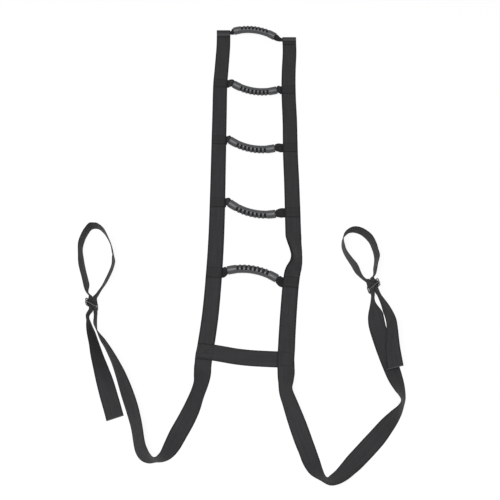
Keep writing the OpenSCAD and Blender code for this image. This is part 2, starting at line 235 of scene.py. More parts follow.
# Rung webbing in a hem, between a rail's plies and at a grip's mouth: half width, half thickness,
# squareness and fold depth.
HEM_NECK = (6, 2.2, 2.4, 0.06)
RAIL_NECK = (13.2, 0.72, 6, 0.0)
MOUTH_NECK = (8.6, 6.8, 2.5, 0.2)

# How far the rung webbing reaches in from a rail's edge, at each of its sections, in millimetres.
HEM_REACH = (34, 24, 12, 4)
RAIL_REACH = (26, 18, 10, 4)

# Rung webbing just inside a grip's mouth: distance out of the mouth and radius in millimetres, and the
# squareness and fold depth there.
MOUTH_STEPS = ((0.3, 6.3), (-2, 6.1), (-5, 5.8))
MOUTH_FOLDS = (2.2, 0.12)

# Necks: gap to the grip in metres, steps, share of the way over which the folds form, sides, folds round
# a section, turn of the first side, and the part of the webbing's breadth that shows, in metres.
NECK_GAP = 0.0012
NECK_STEPS = 14
NECK_FOLDING = 0.7
NECK_SIDES = 48
NECK_FOLDS = 9
NECK_TURN = 0.2
NECK_BREADTH = (0.005, 0.028)

# Middle of the rung webbing in a hem: how far below the fold's middle, along the rail and in height.
HEM_SINK = (2.6, 0.5)

# Rung webbing in a grip: distance in from the mouths and gap to the channel in metres, squareness and fold
# depth, and its swell across a slot, as a place in shares of half the slot and a share of the radius.
CORE_INSET = 0.003
CORE_GAP = 0.0004
CORE_FOLDS = (2, 0.08)
CORE_SWELL = ((-0.95, 0), (-0.8, 0.34), (-0.4, 0.44), (0, 0.46), (0.4, 0.44), (0.8, 0.34), (0.95, 0))

# A grip's collar, in metres: distance in from the mouth, or out from the foot, and how much less its
# radius is there. Then the crown of a rib, and the rounding of the edges.
COLLAR_MOUTH = ((0, 0.0013), (0.0004, 0.0005), (0.0012, 0.0001), (0.0024, 0), (0.008, 0))
COLLAR_FOOT = ((0.0022, 0), (0.0008, 0.0002))
RIB_CROWN = 0.00025
GRIP_ROUNDING = 0.00038
GRIP_ROUND_STEPS = 3
GRIP_COLUMNS = 48

# Half of the turn round a grip that a slot takes, in degrees from the middle of the bulge.
SLOT_HALF_TURN = 102

# Edges sharper than these angles stay sharp, in degrees.
WEBBING_SHARP = 50
GRIP_SHARP = 40
BUCKLE_SHARP = 50

# A buckle: corner radius in metres, steps round a corner, sides of a bar, its height as a share of its
# width, and the rows along the middle bar, every other one sunk to this share.
BUCKLE_CORNER = 0.0034
CORNER_STEPS = 6
BAR_SIDES = 16
BAR_HEIGHT = 0.98
BAR_ROWS = 40
BAR_SUNK = 0.93

# Gathers of a tie strap next to its buckle, in metres: how far they stay tight, and how far they run out.
STRAP_GATHERS = {"lead": (0.015, 0.046), "loop": (0.014, 0.044), "tail": (0.015, 0.040)}

# Gathered webbing: its width as a share, how far it is drawn aside, and how tight it is where it leaves
# the buckle. Then the height of its pleats in metres, and their number.
GATHERED = 0.34
GATHER_ASIDE = 0.6
IN_BUCKLE = 0.92
PLEAT = 0.00025
PLEATS = 3

# A cut end, in metres: depth that is sealed, and how far from the end's middle it can be.
CUT_DEPTH = 0.0009
CUT_REACH = 0.03

# Half of a strap's section: distance from the middle as a share of the half width, and height as
# a share of the half thickness, rounded off at the woven edge.
SECTION = [(0, 1), (0.35, 1), (0.68, 0.99), (0.86, 0.97), (0.94, 0.86), (0.975, 0.68), (0.993, 0.4)]

# Weave: roundness of a strand, dip where a pick crosses it, and the share of this height in the tone,
# painted shade in the gaps.
STRAND_ROUND = 0.6
PICK_DIP = 0.28
RIDGE_TONE = 0.55

# Mottle and lengthwise streaks in the yarn: noise scale, detail and amount. Then the level of the streaks,
# and their fineness along the webbing as a share of that across it.
MOTTLE = (55, 4, 0.3)
STREAKS = (300, 3, 0.7)
STREAK_LEVEL = -0.28
STREAK_LENGTHEN = 0.03

# Tones of a material: place in the pattern, and share of the colour.
YARN_TONES = ((0.18, 0.45), (0.55, 1), (0.85, 1.35))
THREAD_TONES = ((0.1, 0.7), (0.9, 1.3))
PLASTIC_TONES = ((0.3, 0.88), (0.55, 1), (0.8, 1.25))

# Painted shade and light on the webbing: how far the painted shade darkens at most. Then shares of the
# colour where it is darkened by painted shade, lit by a painted highlight, and cut.
DARK_MOST = 0.9
DARK_SHARE = 0.1
HIGHLIGHT_SHARE = 3
SEALED_SHARE = 4

# Scuffs in plastic: from and to this place in the pattern, the roughness changes by these amounts.
SCUFFS = (0.3, 0.75)
SCUFF_ROUGHNESS = (-0.04, 0.08)

# Stage, in metres: camera, its aim, lens and film width in millimetres, floor, and lamp.
CAMERA_AT = Vector((0.036, -0.9727, 1.6324))
AIM = Vector((0.036, -0.079, 0.0))
LENS = 56.3
FILM_WIDTH = 36
FLOOR_HALF = 6.0
FLOOR_DROP = 0.0004
FLOOR_GLOW = 0.92
LAMP_AT = Vector((-0.5, -0.9, 2.3))
LAMP_AIM = Vector((0, 0, 0))
LAMP_SIZE = 1.6


class WebbingSettings(PropertyGroup):
    width: FloatProperty(
        name="Width", description="Width of the rail and strap webbing", default=0.038, unit="LENGTH")
    thickness: FloatProperty(
        name="Ply thickness", description="Thickness of one ply of webbing", default=0.0016, unit="LENGTH")
    strand: FloatProperty(
        name="Strand pitch", description="Distance between neighbouring warp strands", default=0.0012,
        unit="LENGTH")
    pick: FloatProperty(
        name="Pick pitch", description="Distance between neighbouring weft picks", default=0.0017,
        unit="LENGTH")
    colour: FloatVectorProperty(
        name="Webbing colour", description="Colour of the woven yarn", subtype="COLOR",
        default=(0.0165, 0.0165, 0.018))
    # The rung webbing's own near-black colour; in the grips' slots it is also painted shade.
    rung_colour: FloatVectorProperty(
        name="Rung webbing colour", description="Colour of the narrow webbing that carries the grips",
        subtype="COLOR", default=(0.006, 0.006, 0.0065))
    thread_colour: FloatVectorProperty(
        name="Thread colour", description="Colour of the sewing thread", subtype="COLOR",
        default=(0.009, 0.009, 0.0095))


class GripSettings(PropertyGroup):
    curve: FloatProperty(
        name="Curve radius", description="Radius of the grip's curve at its centre line", default=0.150,
        unit="LENGTH")
    length: FloatProperty(
        name="Length", description="Length along the centre line", default=0.120, unit="LENGTH")
    rib_radius: FloatProperty(
        name="Rib radius", description="Radius of the ribs and the spine", default=0.0098, unit="LENGTH")
    collar_radius: FloatProperty(
        name="Collar radius", description="Radius of the smooth collars", default=0.0102, unit="LENGTH")
    collar_length: FloatProperty(
        name="Collar length", description="Length of a smooth collar", default=0.020, unit="LENGTH")
    channel: FloatProperty(
        name="Channel radius", description="Radius of the channel for the rung webbing", default=0.0065,
        unit="LENGTH")
    slots: IntProperty(name="Slots", description="Number of slots between the ribs", default=8)
    slot_width: FloatProperty(
        name="Slot width", description="Width of a slot along the centre line", default=0.005,
        unit="LENGTH")
    colour: FloatVectorProperty(
        name="Grip colour", description="Colour of the moulded plastic", subtype="COLOR",
        default=(0.029, 0.031, 0.034))


class BuckleSettings(PropertyGroup):
    length: FloatProperty(
        name="Length", description="Length across the strap", default=0.046, unit="LENGTH")
    bar: FloatProperty(name="Bar radius", description="Radius of a bar", default=0.0016, unit="LENGTH")
    pitch: FloatProperty(
        name="Bar pitch", description="Distance between neighbouring bars", default=0.0083, unit="LENGTH")
    cheek: FloatProperty(
        name="Cheek width", description="Width of the cheek that joins the bars", default=0.003,
        unit="LENGTH")
    colour: FloatVectorProperty(
        name="Buckle colour", description="Colour of the buckle", subtype="COLOR",
        default=(0.016, 0.016, 0.018))


class StageSettings(PropertyGroup):
    floor_colour: FloatVectorProperty(
        name="Floor colour", description="Colour of the floor", subtype="COLOR", default=(0.92, 0.92, 0.92))
    fill: FloatProperty(
        name="Fill light", description="Strength of the light from all round", default=0.55)
    key: FloatProperty(
        name="Key light", description="Power of the overhead light in watts", default=60, unit="POWER")


# Strap geometry


def curve_point(a, b, c, d, t):
    """Point between b and c on a smooth curve through four route points."""
    return [
        (2 * q + (r - p) * t + (2 * p - 5 * q + 4 * r - s) * t * t
         + (3 * q - p - 3 * r + s) * t * t * t) / 2
        for p, q, r, s in zip(a, b, c, d)
    ]


def smooth(route, spacing):
    """Route with more points between its own, closer where it rolls."""
    last = len(route) - 1
    points = []
    for i in range(last):
        a, b, c, d = route[max(i - 1, 0)], route[i], route[i + 1], route[min(i + 2, last)]
        steps = math.ceil((math.hypot(c[0] - b[0], c[1] - b[1]) + abs(c[2] - b[2])) / spacing)
        points += [curve_point(a, b, c, d, k / steps) for k in range(steps)]
    return points + [list(route[last])]


def right_of(heading):
    """Level direction to the right of a heading."""
    return Vector((math.sin(heading), -math.cos(heading), 0))


def across(heading, roll):
    """Direction across a strap of that heading and roll."""
    return math.cos(roll) * right_of(heading) + math.sin(roll) * UP


def face_of(heading, roll):
    """Direction out of a strap's face."""
    return math.cos(roll) * UP - math.sin(roll) * right_of(heading)


def rise(roll, web):
    """Height of a strap's middle when its lower edge is on the floor, in millimetres."""
    return (web.width * abs(math.sin(roll)) + web.thickness * abs(math.cos(roll))) / 2 / MM


def strap_frames(points, web, layers=None):
    """Middle and direction across the strap at each point, in metres."""
    found = []
    last = len(points) - 1
    for i, (x, y, roll, lift) in enumerate(points):
        ahead, behind = points[min(i + 1, last)], points[max(i - 1, 0)]
        heading = math.atan2(ahead[1] - behind[1], ahead[0] - behind[0])
        roll = math.radians(roll)
        middle = Vector((x, y, rise(roll, web) + max(lift, 0)))
        if layers:
            middle += layers[i] * face_of(heading, roll)
        found.append((middle * MM, across(heading, roll)))
    return found


class Strap:
    """A run of webbing: its frames, and the point on its face at a length along and across it."""

    def __init__(self, frames, web):
        self.frames = frames
        self.width = web.width
        self.thickness = web.thickness
        self.gathers = [(0.0, 0.0)] * len(frames)
        self.along = [0.0]
        for (p, _), (q, _) in zip(frames, frames[1:]):
            self.along.append(self.along[-1] + (q - p).length)

    @property
    def length(self):
        return self.along[-1]

    def travel(self, i):
        last = len(self.frames) - 1
        return (self.frames[min(i + 1, last)][0] - self.frames[max(i - 1, 0)][0]).normalized()

    def normal(self, i):
        return self.frames[i][1].cross(self.travel(i)).normalized()

    def segment(self, s):
        """Frame before a length along the strap, and the share of the way from it to the next."""
        last = len(self.along) - 2
        i = next((k for k in range(last) if self.along[k + 1] > s), last)
        return i, (s - self.along[i]) / (self.along[i + 1] - self.along[i])

    def between(self, i, t):
        """Middle and direction across at a share of the way from a frame to the next."""
        (p, v), (q, w) = self.frames[i], self.frames[i + 1]
        return p.lerp(q, t), v.lerp(w, t).normalized()

    def on_face(self, s, u, height):
        """Point at a height over the face, s along and u across from the middle, and the normal there."""
        i, t = self.segment(s)
        middle, w = self.between(i, t)
        n = self.normal(i).lerp(self.normal(i + 1), t).normalized()
        return middle + u * w + (self.thickness / 2 + height) * n, n

    def with_seams(self, seams):
        """The same strap with close frames at the lengths where it is sewn across."""
        clear = SEAM_STEPS[-1] + SEAM_CLEAR
        rows = [
            (s, row) for s, row in zip(self.along, self.frames)
            if all(abs(s - seam) > clear * spread for seam, spread, _ in seams)]
        for seam, spread, _ in seams:
            for step in SEAM_STEPS:
                s = seam + step * spread
                rows.append((s, self.between(*self.segment(s))))
        rows.sort(key=lambda row: row[0])
        return Strap([row for _, row in rows], self)

    def at_y(self, y):
        """Length along, beyond the hem's fold, at which the middle passes y, in metres."""
        for i in range(len(self.frames) - 1):
            a, b = self.frames[i][0].y, self.frames[i + 1][0].y
            if self.along[i] >= FOLD_LENGTH and (a - y) * (b - y) <= 0 and a != b:
                return self.along[i] + (self.along[i + 1] - self.along[i]) * (y - a) / (b - a)
        raise ValueError(f"the strap doesn't pass y = {y}")


def new_object(name, mesh, material):
    """A shaded object of that mesh, in the scene."""
    made = bpy.data.objects.new(name, mesh)
    bpy.context.scene.collection.objects.link(made)
    mesh.materials.append(material)
    return made


def ring_mesh(name, rings, lengths, breadths):
    """Closed mesh through rings of points, with the length along and the breadth across as its UV."""
    count = len(rings[0])
    vertices = [p for ring in rings for p in ring]
    faces, uvs = [], []
    for i, (v0, v1) in enumerate(zip(lengths, lengths[1:])):
        for k in range(count):
            j = (k + 1) % count
            faces.append((i * count + k, i * count + j, (i + 1) * count + j, (i + 1) * count + k))
            u0, u1 = breadths[k], breadths[k + 1]
            uvs += [(u0, v0), (u1, v0), (u1, v1), (u0, v1)]
    first_end = tuple(reversed(range(count)))
    last_end = tuple(range(len(vertices) - count, len(vertices)))
    for face, v in ((first_end, lengths[0]), (last_end, lengths[-1])):
        faces.append(face)
        uvs += [(breadths[k % count], v) for k in face]
    mesh = bpy.data.meshes.new(name)
    mesh.from_pydata(vertices, [], faces)
    layer = mesh.uv_layers.new(name="webbing")
    for loop, uv in zip(layer.data, uvs):
        loop.uv = uv
    mesh.shade_smooth()
    mesh.set_sharp_from_angle(angle=math.radians(WEBBING_SHARP))
    mesh.validate()
    mesh.update()
    return mesh


def finished_mesh(bm, name, sharp=None):
    """Mesh of a bmesh, smooth apart from edges that are sharper than an angle in degrees."""
    bmesh.ops.recalc_face_normals(bm, faces=bm.faces)
    mesh = bpy.data.meshes.new(name)
    bm.to_mesh(mesh)
    bm.free()
    mesh.shade_smooth()
    if sharp:
        mesh.set_sharp_from_angle(angle=math.radians(sharp))
    return mesh


def round_ring(bm, middle, side, up, radius, sides):
    """Ring of vertices round a point."""
    angles = [2 * math.pi * k / sides for k in range(sides)]
    return [bm.verts.new(middle + radius * (math.cos(a) * side + math.sin(a) * up)) for a in angles]


def add_tube(bm, rings, closed):
    """Faces between rings of vertices, with a cap at both ends unless the tube is closed on itself."""
    pairs = list(zip(rings, rings[1:]))
    if closed:
        pairs.append((rings[-1], rings[0]))
    for a, b in pairs:
        for k in range(len(a)):
            j = (k + 1) % len(a)
            bm.faces.new((a[k], a[j], b[j], b[k]))
    if not closed:
        bm.faces.new(list(reversed(rings[0])))
        bm.faces.new(rings[-1])


def mixed(a, b, t):
    """Value at a share of the way from a to b."""
    return a + (b - a) * t


def ease_in(d, run):
    """0 at no distance, up to 1 at the end of the run."""
    t = min(max(d / run, 0), 1)
    return t * t * (3 - 2 * t)


def seam_pull(s, seams):
    """How far the thread pulls the webbing in, 0 to 1, at a length along it."""
    return max((hold * math.exp(-((s - seam) / spread) ** 2) for seam, spread, hold in seams), default=0.0)


def tone_at(s, tones):
    """How much darker, or below 0 paler, the webbing is at a length along it."""
    return sum(amount * math.exp(-((s - middle) / spread) ** 2) for middle, spread, amount in tones)


def webbing_mesh(name, strap, start, seams, tones):
    """Flat webbing with rounded woven edges, swept along a strap, drawn in where it is sewn or gathered."""
    a, b = strap.width / 2, strap.thickness / 2
    half = [(u * a, h * b) for u, h in SECTION]
    upper = [(-u, h) for u, h in reversed(half[1:])] + half
    profile = [(-a, 0)] + upper + [(a, 0)] + [(u, -h) for u, h in reversed(upper)]
    rings, shades = [], []
    for i, (middle, w) in enumerate(strap.frames):
        n = strap.normal(i)
        pull = seam_pull(strap.along[i], seams)
        gather, drawn = strap.gathers[i]
        narrow = 1 - (1 - GATHERED) * gather
        aside = GATHER_ASIDE * (1 - narrow) * drawn * a
        ring = []
        for u, h in profile:
            sunk = max(h, 0) / b * SEAM_DEPTH * pull
            wave = gather * PLEAT * math.sin(PLEATS * math.pi * u / a)
            ring.append(middle + (u * narrow + aside) * w + (h - sunk + wave) * n)
        rings.append(ring)
        # Painted shade: the thread's pull darkens the seams, and the tones darken or pale the webbing
        # further.
        shades += [min(pull + tone_at(strap.along[i], tones), 1.0)] * len(profile)
    breadths = [u + a for u, _ in profile] + [0]
    mesh = ring_mesh(name, rings, [start + s for s in strap.along], breadths)
    mesh.attributes.new("shade", "FLOAT", "POINT").data.foreach_set("value", shades)
    return mesh


# Shader parts


def link_all(tree, *pairs):
    """Links pairs of sockets."""
    for a, b in pairs:
        tree.links.new(a, b)


def settle(node, values):
    """Sets a node's sockets by name."""
    for label, value in values.items():
        node.inputs[label].default_value = value


def noise_over(tree, vector, scale, detail):
    """Noise over a vector."""
    node = tree.nodes.new("ShaderNodeTexNoise")
    settle(node, {"Scale": scale, "Detail": detail})
    tree.links.new(vector, node.inputs["Vector"])
    return node.outputs["Fac"]


def attribute(tree, name):
    """Value of a mesh attribute."""
    node = tree.nodes.new("ShaderNodeAttribute")
    node.attribute_name = name
    return node.outputs["Fac"]


def maths(tree, operation, a, b=None, c=None):
    """Math node of that operation; a, b and c are numbers or sockets."""
    node = tree.nodes.new("ShaderNodeMath")
    node.operation = operation
    for socket, value in zip(node.inputs, (a, b, c)):
        if value is None:
            continue
        if isinstance(value, (int, float)):
            socket.default_value = value
        else:
            tree.links.new(value, socket)
    return node.outputs[0]


def node_group(name, inputs, outputs):
    """Empty shader node group with named float, vector or colour sockets."""
    group = bpy.data.node_groups.new(name, "ShaderNodeTree")
    for label, kind, default in inputs:
        socket = group.interface.new_socket(name=label, in_out="INPUT", socket_type=kind)
        if default is not None:
            socket.default_value = default
    for label, kind in outputs:
        group.interface.new_socket(name=label, in_out="OUTPUT", socket_type=kind)
    return group, group.nodes.new("NodeGroupInput"), group.nodes.new("NodeGroupOutput")


def weave_group():
    """Plain weave of fat warp strands: a height, a tone with painted shade in the gaps, and a mask of
    painted edge shade.
    """
    name = "Webbing weave"
    if name in bpy.data.node_groups:
        return bpy.data.node_groups[name]
    group, start, end = node_group(
        name,
        [("Vector", "NodeSocketVector", None), ("Strand pitch", "NodeSocketFloat", 0.0012),
         ("Pick pitch", "NodeSocketFloat", 0.0017), ("Width", "NodeSocketFloat", 0.038)],
        [("Height", "NodeSocketFloat"), ("Tone", "NodeSocketFloat"), ("Edge shade", "NodeSocketFloat")])
    parts = group.nodes.new("ShaderNodeSeparateXYZ")
    group.links.new(start.outputs["Vector"], parts.inputs[0])
    breadth, length = parts.outputs[0], parts.outputs[1]
    strands = maths(group, "DIVIDE", breadth, start.outputs["Strand pitch"])
    picks = maths(group, "DIVIDE", length, start.outputs["Pick pitch"])
    ridge = maths(group, "ABSOLUTE", maths(group, "SINE", maths(group, "MULTIPLY", strands, math.pi)))
    ridge = maths(group, "POWER", ridge, STRAND_ROUND)
    turn = maths(group, "MULTIPLY", maths(group, "ADD", picks, maths(group, "FLOOR", strands)), math.pi)
    over = maths(group, "MULTIPLY_ADD", maths(group, "COSINE", turn), PICK_DIP, 1 - PICK_DIP)
    height = maths(group, "MULTIPLY", ridge, over)

    lengthwise = group.nodes.new("ShaderNodeCombineXYZ")
    link_all(
        group,
        (breadth, lengthwise.inputs[0]),
        (maths(group, "MULTIPLY", length, STREAK_LENGTHEN), lengthwise.inputs[1]))
    scale, detail, amount = STREAKS
    streaks = noise_over(group, lengthwise.outputs[0], scale, detail)
    streaks = maths(group, "MULTIPLY_ADD", streaks, amount, STREAK_LEVEL)
    scale, detail, amount = MOTTLE
    mottle = noise_over(group, start.outputs["Vector"], scale, detail)
    mottle = maths(group, "MULTIPLY_ADD", mottle, amount, streaks)
    # Painted shade: the tone is darker in the low gaps between the strands.
    tone = maths(group, "MULTIPLY_ADD", height, RIDGE_TONE, mottle)

    half = maths(group, "MULTIPLY", start.outputs["Width"], 0.5)
    offside = maths(group, "ABSOLUTE", maths(group, "SUBTRACT", breadth, half))
    edge = group.nodes.new("ShaderNodeMapRange")
    edge.interpolation_type = "SMOOTHSTEP"
    settle(edge, {"From Min": EDGE_SHADE[1], "From Max": EDGE_SHADE[0]})
    link_all(
        group,
        (maths(group, "SUBTRACT", half, offside), edge.inputs["Value"]),
        (edge.outputs["Result"], end.inputs["Edge shade"]),
        (height, end.inputs["Height"]),
        (tone, end.inputs["Tone"]))
    return group


def grain_group():
    """Fine moulded grain with faint scuffs: a height, and a mask of the scuffed places."""
    name = "Moulded grain"
    if name in bpy.data.node_groups:
        return bpy.data.node_groups[name]
    group, start, end = node_group(
        name,
        [("Vector", "NodeSocketVector", None), ("Grain scale", "NodeSocketFloat", 900.0),
         ("Scuff scale", "NodeSocketFloat", 60.0)],
        [("Height", "NodeSocketFloat"), ("Scuffs", "NodeSocketFloat")])
    grain = group.nodes.new("ShaderNodeTexNoise")
    settle(grain, {"Detail": 3})
    scuff = group.nodes.new("ShaderNodeTexNoise")
    settle(scuff, {"Detail": 6, "Roughness": 0.7})
    link_all(
        group,
        (start.outputs["Vector"], grain.inputs["Vector"]),
        (start.outputs["Grain scale"], grain.inputs["Scale"]),
        (start.outputs["Vector"], scuff.inputs["Vector"]),
        (start.outputs["Scuff scale"], scuff.inputs["Scale"]),
        (grain.outputs["Fac"], end.inputs["Height"]),
        (scuff.outputs["Fac"], end.inputs["Scuffs"]))
    return group


def blank_material(name):
    """New material with its Principled shader."""
    material = bpy.data.materials.new(name)
    material.use_nodes = True
    return material, material.node_tree, material.node_tree.nodes["Principled BSDF"]


def scaled(colour, share):
    """That share of a colour."""
    return tuple(min(c * share, 1) for c in colour)


def toned(tree, factor, colour, tones):
    """Ramp from a factor through shares of a colour."""
    node = tree.nodes.new("ShaderNodeValToRGB")
    elements = node.color_ramp.elements
    while len(elements) < len(tones):
        elements.new(0.5)
    for element, (position, share) in zip(elements, tones):
        element.position = position
        element.color = (*scaled(colour, share), 1)
    tree.links.new(factor, node.inputs[0])
    return node.outputs[0]


def blended(tree, factor, a, b):
    """Mix from a colour socket to a plain colour by a factor."""
    mix = tree.nodes.new("ShaderNodeMix")
    mix.data_type = "RGBA"
    settle(mix, {"B": (*b, 1)})
    link_all(tree, (factor, mix.inputs["Factor"]), (a, mix.inputs["A"]))
    return mix.outputs["Result"]


def bumped(tree, shader, height, distance, strength):
    """Bump of that height on a shader."""
    bump = tree.nodes.new("ShaderNodeBump")
    settle(bump, {"Distance": distance, "Strength": strength})
    link_all(tree, (height, bump.inputs["Height"]), (bump.outputs[0], shader.inputs["Normal"]))


def webbing_material(name="charcoal webbing", colour=None):
    """Woven webbing with a low sheen, painted shade at edges and seams, a painted highlight on the hem; cut
    ends are a little lighter.
    """
    if name in bpy.data.materials:
        return bpy.data.materials[name]
    web = bpy.context.scene.ladder_webbing
    colour = colour or web.colour
    material, tree, shader = blank_material(name)
    uv = tree.nodes.new("ShaderNodeUVMap")
    uv.uv_map = "webbing"
    weave = tree.nodes.new("ShaderNodeGroup")
    weave.node_tree = weave_group()
    settle(weave, {"Strand pitch": web.strand, "Pick pitch": web.pick, "Width": web.width})
    tree.links.new(uv.outputs[0], weave.inputs["Vector"])
    yarn = toned(tree, weave.outputs["Tone"], colour, YARN_TONES)
    shade = attribute(tree, "shade")
    # Painted shade: darker along the woven edges, and where the shade is above 0, at the seams and the hem.
    dark = maths(tree, "MAXIMUM", weave.outputs["Edge shade"], shade)
    shaded = blended(tree, maths(tree, "MULTIPLY", dark, DARK_MOST), yarn, scaled(colour, DARK_SHARE))
    # Painted highlight: paler where the shade is below 0, on the hem's roll.
    highlighted = blended(tree, maths(tree, "MULTIPLY", shade, -1), shaded, scaled(colour, HIGHLIGHT_SHARE))
    sealed = blended(tree, attribute(tree, "cut_end"), highlighted, scaled(colour, SEALED_SHARE))
    tree.links.new(sealed, shader.inputs["Base Color"])
    settle(shader, {
        "Roughness": 0.78, "Specular IOR Level": 0.25, "Sheen Weight": 0.04, "Sheen Roughness": 0.5})
    bumped(tree, shader, weave.outputs["Height"], distance=0.0003, strength=0.55)
    return material


def rung_material():
    """The same webbing in the rungs' own near-black colour, which in the grips' slots is also painted
    shade.
    """
    return webbing_material("black rung webbing", tuple(bpy.context.scene.ladder_webbing.rung_colour))


def thread_material():
    """Black sewing thread, twisted."""
    name = "sewing thread"
    if name in bpy.data.materials:
        return bpy.data.materials[name]
    material, tree, shader = blank_material(name)
    where = tree.nodes.new("ShaderNodeTexCoord")
    twist = tree.nodes.new("ShaderNodeTexWave")
    settle(twist, {"Scale": 900, "Distortion": 1})
    tree.links.new(where.outputs["Object"], twist.inputs["Vector"])
    tone = toned(tree, twist.outputs["Fac"], bpy.context.scene.ladder_webbing.thread_colour, THREAD_TONES)
    tree.links.new(tone, shader.inputs["Base Color"])
    settle(shader, {"Roughness": 0.7, "Specular IOR Level": 0.15})
    return material


def plastic_material(name, colour, roughness, grain_height, coat, specular):
    """Moulded plastic with fine grain, and a little paler and rougher where it is scuffed."""
    if name in bpy.data.materials:
        return bpy.data.materials[name]
    material, tree, shader = blank_material(name)
    where = tree.nodes.new("ShaderNodeTexCoord")
    grain = tree.nodes.new("ShaderNodeGroup")
    grain.node_tree = grain_group()
    tree.links.new(where.outputs["Object"], grain.inputs["Vector"])
    tone = toned(tree, grain.outputs["Scuffs"], colour, PLASTIC_TONES)
    gloss = tree.nodes.new("ShaderNodeMapRange")
    settle(gloss, {
        "From Min": SCUFFS[0], "From Max": SCUFFS[1],
        "To Min": roughness + SCUFF_ROUGHNESS[0], "To Max": roughness + SCUFF_ROUGHNESS[1]})
    link_all(
        tree,
        (tone, shader.inputs["Base Color"]),
        (grain.outputs["Scuffs"], gloss.inputs["Value"]),
        (gloss.outputs["Result"], shader.inputs["Roughness"]))
    settle(shader, {"Specular IOR Level": specular, "Coat Weight": coat, "Coat Roughness": 0.06})
    bumped(tree, shader, grain.outputs["Height"], distance=grain_height, strength=0.35)
    return material


def grip_material():
    """Satin plastic of the hand grips."""
    return plastic_material(
        "satin grip plastic", bpy.context.scene.ladder_grip.colour, roughness=0.42, grain_height=0.00012,
        coat=0.0, specular=0.5)


def buckle_material():
    """Glossy plastic of the buckles."""
    return plastic_material(
        "black buckle plastic", bpy.context.scene.ladder_buckle.colour, roughness=0.2, grain_height=0.00004,
        coat=1.0, specular=1.0)


# Rails


def ease(d, flat, slope):
    """1 up to a flat distance, then down to 0 over the slope."""
    if d < flat:
        return 1
    if d > flat + slope:
        return 0
    return (1 + math.cos(math.pi * (d - flat) / slope)) / 2


def front_layer(y, roll, anchors, ply):
    """How far the front ply stands off: over the rung webbing, over the hem, and where the rail turns."""
    over_rung = max(ease(abs(y - a), TAB_HALF, TAB_RAMP) for a in anchors[1:])
    over_hem = ease(anchors[0] - y, 0, HEM_RAMP)
    turned = min(abs(roll) / TWIST_FULL, 1)
    return ply * (1 + over_rung) + (2 * HEM_R - ply) * over_hem + TWIST_PART * turned


def rail_line(route):
    """Points along a rail, with one edge lifted a little here and there, as soft webbing lies."""
    rows = []
    for x, y, roll, lift in smooth(route, RAIL_SPACING):
        if abs(roll) < FLAT_ROLL:
            roll += EDGE_LIFT * (0.5 + 0.5 * math.sin(2 * math.pi * y / LIFT_WAVE))
        rows.append([x, y, roll, lift])
    return rows


def rail_back_strap(route, anchors, web):
    """Back ply of a rail, from below the end of the hem's fold."""
    top = [route[0][0], anchors[0] - HEM_LAP - LAP_GAP, 0, 0]
    below = [p for p in rail_line(route) if p[1] < anchors[0] - HEM_LAP - 2 * LAP_GAP]
    return Strap(strap_frames([top] + below, web), web)


def rail_front_strap(route, anchors, web):
    """Front ply of a rail, from the end of the hem's fold up and over."""
    line = rail_line(route)
    ply = web.thickness / MM + PLY_GAP
    layers = [front_layer(y, roll, anchors, ply) for _, y, roll, _ in line]
    x, y, middle = route[0][0], anchors[0], HEM_R + web.thickness / 2 / MM
    inward = Vector((-1, 0, 0))
    fold = [(Vector((x, y - HEM_LAP, web.thickness / 2 / MM)) * MM, inward)]
    for k in range(FOLD_STEPS):
        a = math.radians(180 * k / FOLD_STEPS - 90)
        fold.append((Vector((x, y + HEM_R * math.cos(a), middle + HEM_R * math.sin(a))) * MM, inward))
    return Strap(fold + strap_frames(line, web, layers), web)


def rail_straps(side):
    """Front and back ply of one rail."""
    web = bpy.context.scene.ladder_webbing
    route, anchors = RAILS[side]
    return rail_front_strap(route, anchors, web), rail_back_strap(route, anchors, web)


def cross_strap(web):
    """The strap between the rails' lower ends."""
    return Strap(strap_frames(smooth(CROSS_STRAP, RAIL_SPACING), web), web)


def rail_seams(side, front):
    """Lengths along a rail's front ply where it is sewn across: below the hem and at the rungs."""
    _, anchors = RAILS[side]
    hem = front.at_y((anchors[0] - HEM_LAP - HEM_SEAM[side]) * MM)
    rows = [(hem, HEM_SPREAD, 1.0)]
    if side == "right":
        rows.append((hem + HEM_BAND * MM, HEM_SPREAD, 1.0))
    for y in anchors[1:]:
        rows += [(front.at_y((y + d) * MM), SEAM_SPREAD, hold) for d, hold in RUNG_SEAMS]
    return rows


def rail_tones(side, front):
    """Places along a rail's front ply that are darker or paler, with their spreads."""
    _, anchors = RAILS[side]
    seam = rail_seams(side, front)[0][0]
    fold = seam - (HEM_LAP + HEM_SEAM[side]) * MM
    rows = [(mixed(fold, seam, share), spread * MM, amount) for share, spread, amount in HEM_TONES]
    for y in anchors[1:]:
        rows += [(front.at_y((y + d) * MM), spread * MM, amount) for d, spread, amount in RUNG_TONES]
    return rows


def rail_x(route, y):
    """Middle of a rail at a distance along the ladder, in millimetres."""
    for (x0, y0, _, _), (x1, y1, _, _) in zip(route, route[1:]):
        if y1 <= y <= y0:
            return x0 + (x1 - x0) * (y0 - y) / (y0 - y1)
    return route[0][0]


def finish_webbing(
        name, strap, node, start=0.0, body="webbing", seams=(), tones=()):
    """Webbing piece that stands for a strap's solid."""
    piece = new_object(name, webbing_mesh(name, strap, start, seams, tones), webbing_material())
    if body:
        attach(piece, body)
    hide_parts(node)
    return piece


class LADDER_OT_rails(Operator):
    """Make the two plies of each rail, folded over the top rung as a hem, and the cross strap"""

    bl_idname = "ladder.rails"
    bl_label = "Rails and cross strap"

    def execute(self, context):
        for side in RAILS:
            front, back = rail_straps(side)
            finish_webbing(f"{side}_rail_back_ply", back, f"{side}_rail_back")
            seams = rail_seams(side, front)
            finish_webbing(
                f"{side}_rail_front_ply", front.with_seams(seams), f"{side}_rail_front",
                seams=seams, tones=rail_tones(side, front))
        finish_webbing(
            "cross_strap_webbing", cross_strap(context.scene.ladder_webbing), "cross_strap")
        return {"FINISHED"}


# Rungs


